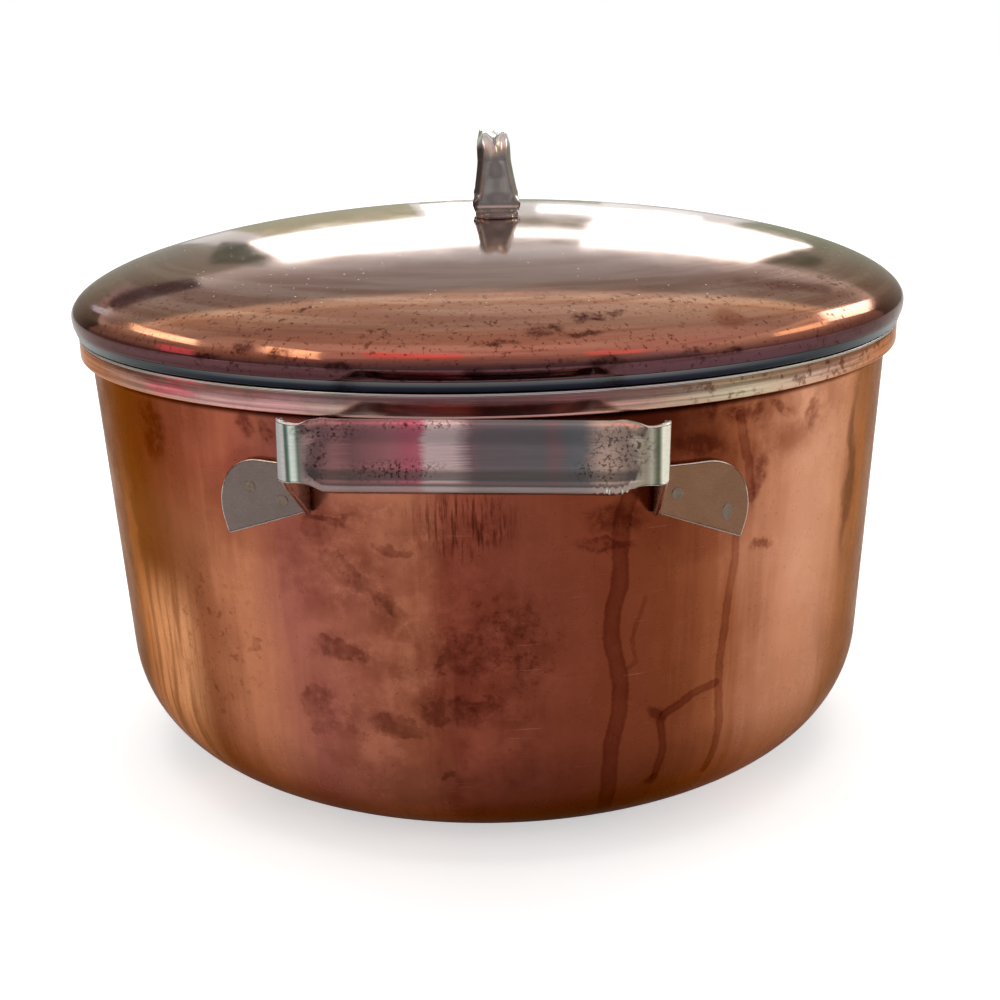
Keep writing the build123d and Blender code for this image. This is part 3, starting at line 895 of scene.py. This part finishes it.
    # Painted reflection: lighter and darker rings across the collar
    shaded = rings.ease(0.36, 0.62, 0.62, 1.15)
    grain = fine.ease(0.52, 0.6) * u.ease(40, 60, 0.15, 0.8)
    collar_color = tree.scaled(collar_color, shaded).tint(grain, 0x967A74)
    # Painted highlight along the collar's lower and upper edges
    edge_highlight = z.ease(124.4, 124.2).math("MAXIMUM", z.ease(128.6, 129.2))
    collar_color = collar_color.mix(edge_highlight * 0.3, 0xE0B49C)
    on_collar = z.ease(123.2, 123.7)
    color = color.mix(on_collar, collar_color)
    # Painted shadow in the crease under the collar
    crease_shadow = z.ease(121.2, 122.6) * z.ease(123.5, 123)
    color = color.tint(crease_shadow * 0.95, 0x5C444E)
    roughness = cloud.ease(0.3, 0.7, 0.22, 0.32) + dark * 0.1
    roughness = roughness + on_collar * -0.1
    brush = plane.noise(1, 3, 0.6, stretch=(0.02, 2.2, 1))
    return tree.finish(color, 1, roughness, brush, 0.05, 0.0001, tint=0xE4BCA2)


def lid_copper():
    tree = Tree("polished_copper")
    position = tree.position()
    u, z, x, y = position.around()
    plane = tree.join(u, z)
    radius = (x * x + y * y).math("SQRT")
    medium = position.noise(0.09, 6, 0.6)
    fine = position.noise(0.5, 6, 0.66)
    ragged = plane.warped(2.6, 0.3)
    streaks = tree.join(x * 0.012, z * 0.45, y * 0.012)
    bands = streaks.noise(1, 4, 0.6)
    # Painted reflection: darker towards the curled edge, paler towards the crown
    color = z.ease(132, 160).ramp((
        (0, 0x5C3E44), (0.05, 0x6A484C), (0.1, 0x98685E), (0.2, 0xB88670), (0.4, 0xC69A80),
        (0.7, 0xCCAA9A), (0.92, 0xD4BEB4), (1, 0xD8C8C2),
    ))
    off_crown = z.ease(157, 150, 0.15, 0.55)
    color = color.tint(bands.ease(0.42, 0.62) * off_crown, 0xC4A092)
    outer = radius.ease(96, 112)
    speckle = fine.ease(0.55, 0.64) * medium.ease(0.42, 0.6)
    color = color.tint(speckle * (outer * 0.75), 0x826054)
    rust = position.noise(0.8, 3, 0.6).ease(0.6, 0.68)
    color = color.tint(rust * (outer * 0.7), 0x965C42)
    spots = (
        (-0.6, 134.8, 3, 1.3), (28.6, 136, 4, 2), (27.6, 145.4, 4.4, 0.8), (35, 146, 3, 0.5),
        (25, 142.4, 5, 0.5), (16, 143.4, 4.4, 1), (-46, 138.6, 3.4, 1.4), (-31, 136.4, 4, 1),
        (-56, 139.2, 3, 1.4), (4.3, 141.2, 5, 0.5), (50, 137.4, 3, 0.7), (60, 136.4, 2.6, 0.8),
        (-66, 136.6, 4, 0.8),
    )
    patchy = ragged.stains(0.4, *spots) * fine.ease(0.38, 0.56, 0.35, 1)
    color = color.tint(patchy * 0.8, 0x806468)
    rusty = ragged.stains(0.4, (63.6, 143, 4.4, 1.9))
    color = color.tint(rusty * 0.5, 0xC48260)
    dust = tree.add("TexVoronoi", {"Vector": position, "Scale": 0.4, "Randomness": 1}, 0)
    dust_mask = dust.ease(0.11, 0.07) * z.ease(144, 149)
    keep = position.noise(0.05, 2).ease(0.44, 0.56)
    dust_mask = dust_mask * keep
    color = color.mix(dust_mask * 0.75, (0.85, 0.82, 0.78, 1))
    metallic = 1 - dust_mask * 0.8
    roughness = medium.ease(0.3, 0.7, 0.085, 0.13) + strongest([speckle * outer, dust_mask]) * 0.2
    wave = position.noise(0.03, 2, 0.5)
    return tree.finish(color, metallic, roughness, wave, 0.15, 0.0008, tint=0xDED8D4)


def lining_steel():
    tree = Tree("satin_steel")
    position = tree.position()
    u, z, x, y = position.around()
    brush = tree.join(u, z).noise(1, 3, 0.6, stretch=(0.015, 3, 1))
    tinted = tree.scaled(STEEL_COLOR[:3], brush.ease(0.3, 0.7, 0.88, 1.05))
    return tree.finish(tinted, 1, 0.26, brush, 0.06, 0.0001)


def lid_steel():
    """Satin lining of the lid, with a painted dark reflection where its edge shows between the
    copper and the rim.
    """
    tree = Tree("lid_lining_steel")
    position = tree.position()
    u, z, x, y = position.around()
    radius = (x * x + y * y).math("SQRT")
    brush = tree.join(u, z).noise(1, 3, 0.6, stretch=(0.015, 3, 1))
    # Painted dark reflection on the edge between the copper and the rim, darker lower down and at
    # the sides
    hem_color = z.ease(130.2, 133.2).ramp((
        (0, 0x181A24), (0.4, 0x2C2E3A), (0.66, 0x54565C), (1, 0x707070),
    ))
    side_dark_reflection = abs(u).ease(40, 100, 0, 0.95)
    hem_color = hem_color.mix(side_dark_reflection, 0x242C30)
    color = tree.mix(radius.ease(121, 121.6), STEEL_COLOR, hem_color)
    return tree.finish(color, 1, 0.24, brush, 0.06, 0.0001)


def grip_steel():
    """Side handles: worn grip whose colours along its length and across its lips are painted
    reflection, painted reflection stripes round its corners, duller arms and wings.
    """
    tree = Tree("brushed_strap")
    position = tree.position()
    x, y, z = position.split()
    medium = position.noise(0.16, 5, 0.6)
    fine = position.noise(1.3, 6, 0.72)
    brush = position.noise(1, 4, 0.6, stretch=(0.05, 0.6, 3))
    shaken = x + (medium - 0.5) * 3
    shaken = shaken + (brush - 0.5) * 5
    # Painted reflection: colours along the grip's face
    face = tree.add("MapRange", {0: shaken, 1: -44.7, 2: 42.5}).ramp((
        (0.07, 0x967C7A), (0.16, 0xB08484), (0.2, 0x967072), (0.3, 0xBC8488), (0.345, 0xCE7888),
        (0.375, 0xD68092), (0.395, 0xF0DEDC), (0.46, 0xECDAD8), (0.505, 0x927C82), (0.53, 0x847C80),
        (0.68, 0x7E7E80), (0.71, 0x927A7C), (0.75, 0x7C8488), (0.785, 0x888A8A), (0.83, 0xDEC8B6),
        (0.9, 0xCEBAA8), (0.94, 0xBEB29E),
    ))
    # Painted reflection stripes round the grip's corners
    end_reflections = tree.add("MapRange", {0: x, 1: -45, 2: 45}).ramp((
        (0.008, 0x787074), (0.022, 0xB0B0B0), (0.034, 0xCECAC8), (0.04, 0x3C524A),
        (0.046, 0x5A7066), (0.052, 0xE4EEE4), (0.062, 0xD8E0D6), (0.07, 0x687870),
        (0.084, 0x968480), (0.916, 0x968A7A), (0.93, 0xB8B2A2), (0.936, 0x94907E),
        (0.944, 0x545848), (0.95, 0x787A66), (0.957, 0xF0EEDE), (0.978, 0xECE8D6),
        (0.986, 0xA6A094), (0.994, 0xC4B0AE),
    ))
    at_ends = abs(x + 0.6).ease(35, 39)
    level = z + x * 0.0244
    # Painted reflection: a duller band along the lower lip
    lower = level.ease(116.6, 115.9) * (1 - at_ends)
    face = face.mix(lower * 0.75, 0x968682)
    # Painted dark reflection in a band above the lower lip
    dark_band = level.ease(119.6, 118.2) * level.ease(116.4, 117)
    dark_band = dark_band * (1 - at_ends)
    face = face.mix(dark_band * 0.75, 0x585A56)
    color = face.mix(at_ends, end_reflections)
    color = color.tint(brush.ease(0.35, 0.65) * 0.35, (0.72, 0.72, 0.72, 1))
    places = (
        ((-32, -150, 128), (9, 6, 3)), ((-18, -150, 119), (12, 6, 2.6)),
        ((-35, -150, 121), (3, 6, 6)), ((32, -150, 123), (8, 6, 6)), ((27, -150, 118), (6, 6, 3)),
        ((-12, -150, 128.5), (14, 6, 1.4)),
    )
    masks = []
    for centre, size in places:
        offset = position.vector("SUBTRACT", centre).vector("DIVIDE", size)
        masks.append(offset.vector("LENGTH", out=1).ease(1.3, 0.4))
    grain = strongest(masks) * fine.ease(0.52, 0.58)
    color = color.tint(grain * 0.85, 0x68524E)
    back = abs(y).ease(132, 124)
    wing = tree.mix(x.ease(-30, 30), 0x786A66, 0x84624C)
    wing = wing.tint(medium.ease(0.4, 0.6) * 0.35, (0.78, 0.76, 0.74, 1))
    color = color.mix(back, wing)
    color = color.tint(fine.ease(0.68, 0.73) * 0.4, 0x6E5E58)
    rough = brush.ease(0.3, 0.7, -0.03, 0.05) + back.ease(0, 1, 0.2, 0.27)
    return tree.finish(color, 1, rough, brush, 0.1, 0.00012)


def knob_steel(name, low_color, top_highlight_color, rough_low, rough_high):
    """Steel of the lid handle, with a painted highlight on the top of its arch and a painted dark
    reflection down its left side.
    """
    tree = Tree(name)
    position = tree.position()
    x, y, z = position.split()
    brush = position.noise(1, 4, 0.6, stretch=(2.5, 0.5, 0.06))
    medium = position.noise(0.2, 5, 0.6)
    color = tree.mix(medium.ease(0.35, 0.65), low_color, (0.78, 0.78, 0.78, 1), "MULTIPLY")
    color = color.tint(brush.ease(0.35, 0.65) * 0.3, (0.75, 0.72, 0.7, 1))
    # Painted dark reflection down the left side of the handle
    sideways = x - 3.3 - (z - 168) * 0.144
    color = color.tint(sideways.ease(-4, -4.9), (0.3, 0.25, 0.27, 1))
    # Painted highlight on the top of the arch
    color = color.mix(z.ease(179.5, 182), top_highlight_color)
    return tree.finish(color, 1, brush.ease(0.3, 0.7, rough_low, rough_high), brush, 0.06, 0.0001)


def mark_steel(name, color):
    tree = Tree(name)
    fine = tree.position().noise(1.2, 4, 0.6)
    shaded = tree.mix(fine.ease(0.4, 0.6), color, (0.84, 0.84, 0.84, 1), "MULTIPLY")
    return tree.finish(shaded, 1, fine.ease(0.3, 0.7, 0.26, 0.36))


pot_looks = pot_copper()
lid_looks = lid_copper()
lining = lining_steel()
hem_steel = lid_steel()
side_steel = grip_steel()
side_edge = mark_steel("side_edge_steel", 0xE2DED8)
lid_strap = knob_steel("polished_strap", 0xB8B2AC, 0xE2E2DE, 0.15, 0.23)
lid_edge = knob_steel("lid_edge_steel", 0x8A7A78, 0xB0B0AE, 0.2, 0.3)
weld_steel = mark_steel("weld_steel", 0x807064)
lid_weld_steel = mark_steel("lid_weld_steel", 0x96928A)

for piece, *slots in (
    (pot_shell, pot_looks), (pot_lining, lining), (lid_shell, lid_looks), (lid_lining, hem_steel),
    (front_handle, side_steel, side_edge), (rear_handle, side_steel, side_edge),
    (lid_handle_piece, lid_strap, lid_edge), (front_welds, weld_steel), (rear_welds, weld_steel),
    (lid_welds, lid_weld_steel),
):
    for material in slots:
        piece.data.materials.append(material)


# ---------------------------------------------------------------- studio

scene = bpy.context.scene
scene.view_settings.view_transform = "Standard"


def stage_object(name, corners, material):
    mesh = bpy.data.meshes.new(name)
    mesh.from_pydata(corners, [], [(0, 1, 2, 3)])
    piece = bpy.data.objects.new(name, mesh)
    scene.collection.objects.link(piece)
    mesh.materials.append(material)
    return piece


def floor():
    tree = Tree("floor_white")
    seen = tree.add("LightPath", {}, "Is Camera Ray")
    diffuse = tree.add("BsdfDiffuse", {"Color": (0.86, 0.85, 0.83, 1)})
    glow = tree.add("Emission", {"Color": (1, 1, 1, 1), "Strength": seen * 0.5})
    tree.node("OutputMaterial", {"Surface": tree.add("AddShader", {0: diffuse, 1: glow})})
    size = 40
    corners = [(-size, -size, 0), (size, -size, 0), (size, size, 0), (-size, size, 0)]
    stage_object("floor", corners, tree.owner)


def card(name, corners, color, far_color=None, strength=1):
    """Flat card that shows only in the metal, shaded from its first edge to the opposite one."""
    tree = Tree(name)
    color = (*color, 1)
    if far_color:
        share = tree.add("TexCoord", {}, "UV").split()[1]
        color = tree.mix(share, color, (*far_color, 1))
    shader = tree.add("Emission", {"Color": color, "Strength": strength})
    tree.node("OutputMaterial", {"Surface": shader})
    piece = stage_object(name, corners, tree.owner)
    shades = piece.data.uv_layers.new(name="shade")
    for loop, place in zip(shades.data, ((0, 0), (1, 0), (1, 1), (0, 1))):
        loop.uv = place
    piece.visible_camera = piece.visible_diffuse = False
    piece.visible_transmission = piece.visible_shadow = False


# The cards' room, in metres: half its width, and the places of its back, front and ceiling
SIDE, BACK, FRONT, CEILING = 2.6, 2, -1.7, 2.42


def upright(start, end, low, high):
    """Corners of a wall between two places in plan; a bare number is an x on the back wall."""
    (ax, ay), (bx, by) = (p if isinstance(p, tuple) else (p, BACK) for p in (start, end))
    return [(ax, ay, low), (bx, by, low), (bx, by, high), (ax, ay, high)]


def sideways(a, b):
    """Corners of a part of the back wall that is shaded from the x a to the x b."""
    return [(a, BACK, 0), (a, BACK, 1), (b, BACK, 1), (b, BACK, 0)]


def overhead(a, b):
    """Corners of a part of the ceiling that is shaded from the y a to the y b."""
    return [(-SIDE, a, CEILING), (SIDE, a, CEILING), (SIDE, b, CEILING), (-SIDE, b, CEILING)]


floor()
for row in (
    # Back of the room: two windows with a post between them, walls that darken outward
    ("back_low", upright(-SIDE, SIDE, 1, 1.28), (1.05, 1.08, 1.12), (0.5, 0.5, 0.51)),
    ("back_high", upright(-SIDE, SIDE, 1.28, 1.95), (0.5, 0.49, 0.5), (0.34, 0.35, 0.35)),
    ("back_top", upright(-SIDE, SIDE, 1.95, 2.3), (1.06, 0.98, 0.86)),
    ("back_beam", upright(-SIDE, SIDE, 2.3, CEILING), (0.66, 0.44, 0.32)),
    ("post_low", upright(-0.16, 0.15, 0, 0.24), (0.4, 0.41, 0.34)),
    ("post_high", upright(-0.02, 0.16, 0.6, 0.78), (0.42, 0.38, 0.3)),
    ("post_top", upright(-0.02, 0.2, 0.9, 1), (0.44, 0.43, 0.38)),
    ("sill_left", upright(-0.5, -0.18, 0, 0.55), (0.42, 0.43, 0.35), (0.6, 0.56, 0.34)),
    ("sill_right", upright(0.42, 0.66, 0, 0.45), (0.36, 0.4, 0.3)),
    ("side_left_near", sideways(-0.6, -1), (0.44, 0.44, 0.38), (0.36, 0.36, 0.31)),
    ("side_left_far", sideways(-1, -SIDE), (0.34, 0.34, 0.29), (0.05, 0.05, 0.05)),
    ("leaf_left", [(-0.57, 1.98, 0.45), (-0.5, 1.98, 0.75), (-0.6, 1.98, 1.02),
                   (-0.7, 1.98, 0.8)], (0.16, 0.18, 0.14)),
    ("side_right_near", sideways(0.62, 1), (0.4, 0.42, 0.34), (0.4, 0.4, 0.34)),
    ("side_right_far", sideways(1, SIDE), (0.38, 0.38, 0.32), (0.14, 0.13, 0.12)),
    ("leaf_right", [(0.6, 1.98, 0.62), (0.66, 1.98, 0.98), (0.8, 1.98, 0.9),
                    (0.78, 1.98, 0.7)], (0.18, 0.2, 0.15)),
    ("wall_left", upright((-2.5, BACK), (-SIDE, FRONT), 0, CEILING),
     (0.24, 0.18, 0.16), (0.9, 0.76, 0.62)),
    ("wall_right", upright((2.5, BACK), (SIDE, FRONT), 0, CEILING),
     (0.46, 0.35, 0.28), (1.05, 0.9, 0.74)),
    ("ceiling_back", overhead(BACK, 0.9), (0.76, 0.68, 0.62), (0.5, 0.42, 0.42)),
    ("ceiling_middle", overhead(0.9, -0.9), (0.62, 0.52, 0.5), (0.94, 0.7, 0.68)),
    ("ceiling_front", overhead(-0.9, FRONT), (1, 0.74, 0.72), (0.9, 0.7, 0.66)),
    ("front_low", upright((-SIDE, FRONT), (SIDE, FRONT), 0, 0.8),
     (0.27, 0.25, 0.27), (0.36, 0.32, 0.33)),
    ("front_high", upright((-SIDE, FRONT), (SIDE, FRONT), 0.8, CEILING),
     (0.46, 0.4, 0.41), (0.78, 0.64, 0.62)),
    # Small bright and dark things around the pot that show in the curved edge of the lid
    ("streak_left", [(-0.91, 0.716, 0.76), (-0.98, 0.22, 1.01), (-1.118, -0.001, 0.901),
                     (-1.038, 0.574, 0.738)], (1, 0.94, 0.76), None, 3.6),
    ("pink_left", [(-1.238, 0.129, 0.684), (-1.241, -0.178, 0.696), (-1.345, -0.341, 0.226),
                   (-1.373, -0.044, 0.259)], (1, 0.26, 0.34), None, 1.6),
    ("yellow_left", [(-0.802, -0.037, 1.198), (-0.683, -0.353, 1.243), (-0.82, -0.815, 0.907),
                     (-0.962, -0.419, 1.014)], (1, 0.92, 0.66), None, 3.4),
    ("red_left", [(-0.486, -0.363, 1.331), (-0.094, -0.564, 1.359), (-0.101, -0.866, 1.201),
                  (-0.563, -0.739, 1.148)], (1, 0.3, 0.33), None, 1.5),
    ("red_right", [(0.442, -0.552, 1.292), (0.703, -0.54, 1.174), (0.776, -0.774, 0.984),
                   (0.496, -0.817, 1.131)], (1, 0.38, 0.38), None, 1.7),
    ("gold_right", [(1.088, 0.047, 0.937), (1.057, 0.475, 0.8), (1.187, 0.332, 0.692),
                    (1.187, -0.103, 0.806)], (1, 0.84, 0.56), None, 2.6),
    ("white_right", [(0.88, 0.66, 0.88), (0.85, 0.9, 0.6), (1.06, 0.72, 0.52),
                     (1.12, 0.42, 0.78)], (1, 1, 1), None, 7),
    ("blue_left", [(-0.765, 1.031, 0.425), (-0.806, 0.92, 0.606), (-0.88, 0.869, 0.591),
                   (-0.835, 0.972, 0.455)], (0.9, 1.1, 1.5)),
    ("purple_left", [(-0.687, 1.053, 0.49), (-0.49, 1.074, 0.621), (-0.504, 1.014, 0.712),
                     (-0.811, 0.902, 0.629)], (0.12, 0.09, 0.11)),
    ("pink_edge", [(-0.764, 1.015, 0.47), (-0.589, 1.113, 0.46), (-0.603, 1.082, 0.518),
                   (-0.801, 0.962, 0.534)], (0.5, 0.4, 0.44)),
    ("brown_right", [(0.396, 1.006, 0.785), (0.618, 0.996, 0.678), (0.679, 0.922, 0.741),
                     (0.428, 0.935, 0.867)], (0.28, 0.22, 0.22)),
):
    card(*row)

# The lamps that stand for windows face the front and show in the metal; the others don't
for name, place, width, height, power in (
    ("softbox_top", (0, 0.1, 1.5), 1.4, 1, 9),
    ("window_left", (-0.28, 1.97, 0.79), 0.52, 0.42, 2.8),
    ("window_left_low", (-0.09, 1.97, 0.42), 0.14, 0.36, 0.65),
    ("window_post", (0.09, 1.97, 0.84), 0.2, 0.1, 0.26),
    ("window_right", (0.4, 1.97, 0.74), 0.46, 0.54, 3.2),
    ("window_right_low", (0.2, 1.97, 0.42), 0.3, 0.14, 0.55),
    ("strip_left", (-1.5, -0.5, 0.45), 0.2, 0.8, 3),
    ("strip_right", (1.5, -0.6, 0.45), 0.25, 0.8, 4.5),
):
    is_window = name.startswith("window")
    target = (place[0], -1, place[2]) if is_window else (0, 0, 0.1)
    light = bpy.data.lights.new(name, "AREA")
    light.shape = "RECTANGLE"
    light.size, light.size_y = width, height
    light.energy = power
    lamp = bpy.data.objects.new(name, light)
    scene.collection.objects.link(lamp)
    lamp.location = place
    lamp.rotation_euler = (Vector(target) - Vector(place)).to_track_quat("-Z", "Y").to_euler()
    lamp.visible_glossy = is_window

# White surroundings, a little dimmer where they only light the pot
world = Tree("studio", bpy.data.worlds)
seen = strongest([
    world.add("LightPath", {}, f"Is {kind} Ray") for kind in ("Camera", "Glossy", "Transmission")
])
glow = world.add("MapRange", {0: seen, 3: 0.62, 4: 1})
background = world.add("Background", {"Color": (1, 1, 1, 1), "Strength": glow})
world.node("OutputWorld", {"Surface": background})
scene.world = world.owner

camera_data = bpy.data.cameras.new("camera")
camera_data.lens = 54.975
camera_data.sensor_width = 36
camera_data.clip_start = 0.01
camera = bpy.data.objects.new("camera", camera_data)
scene.collection.objects.link(camera)
camera.location = (0.011541, -0.47224, 0.205184)
camera.rotation_euler = (radians(73.83786), radians(1.17607), radians(0.76275))
scene.camera = camera
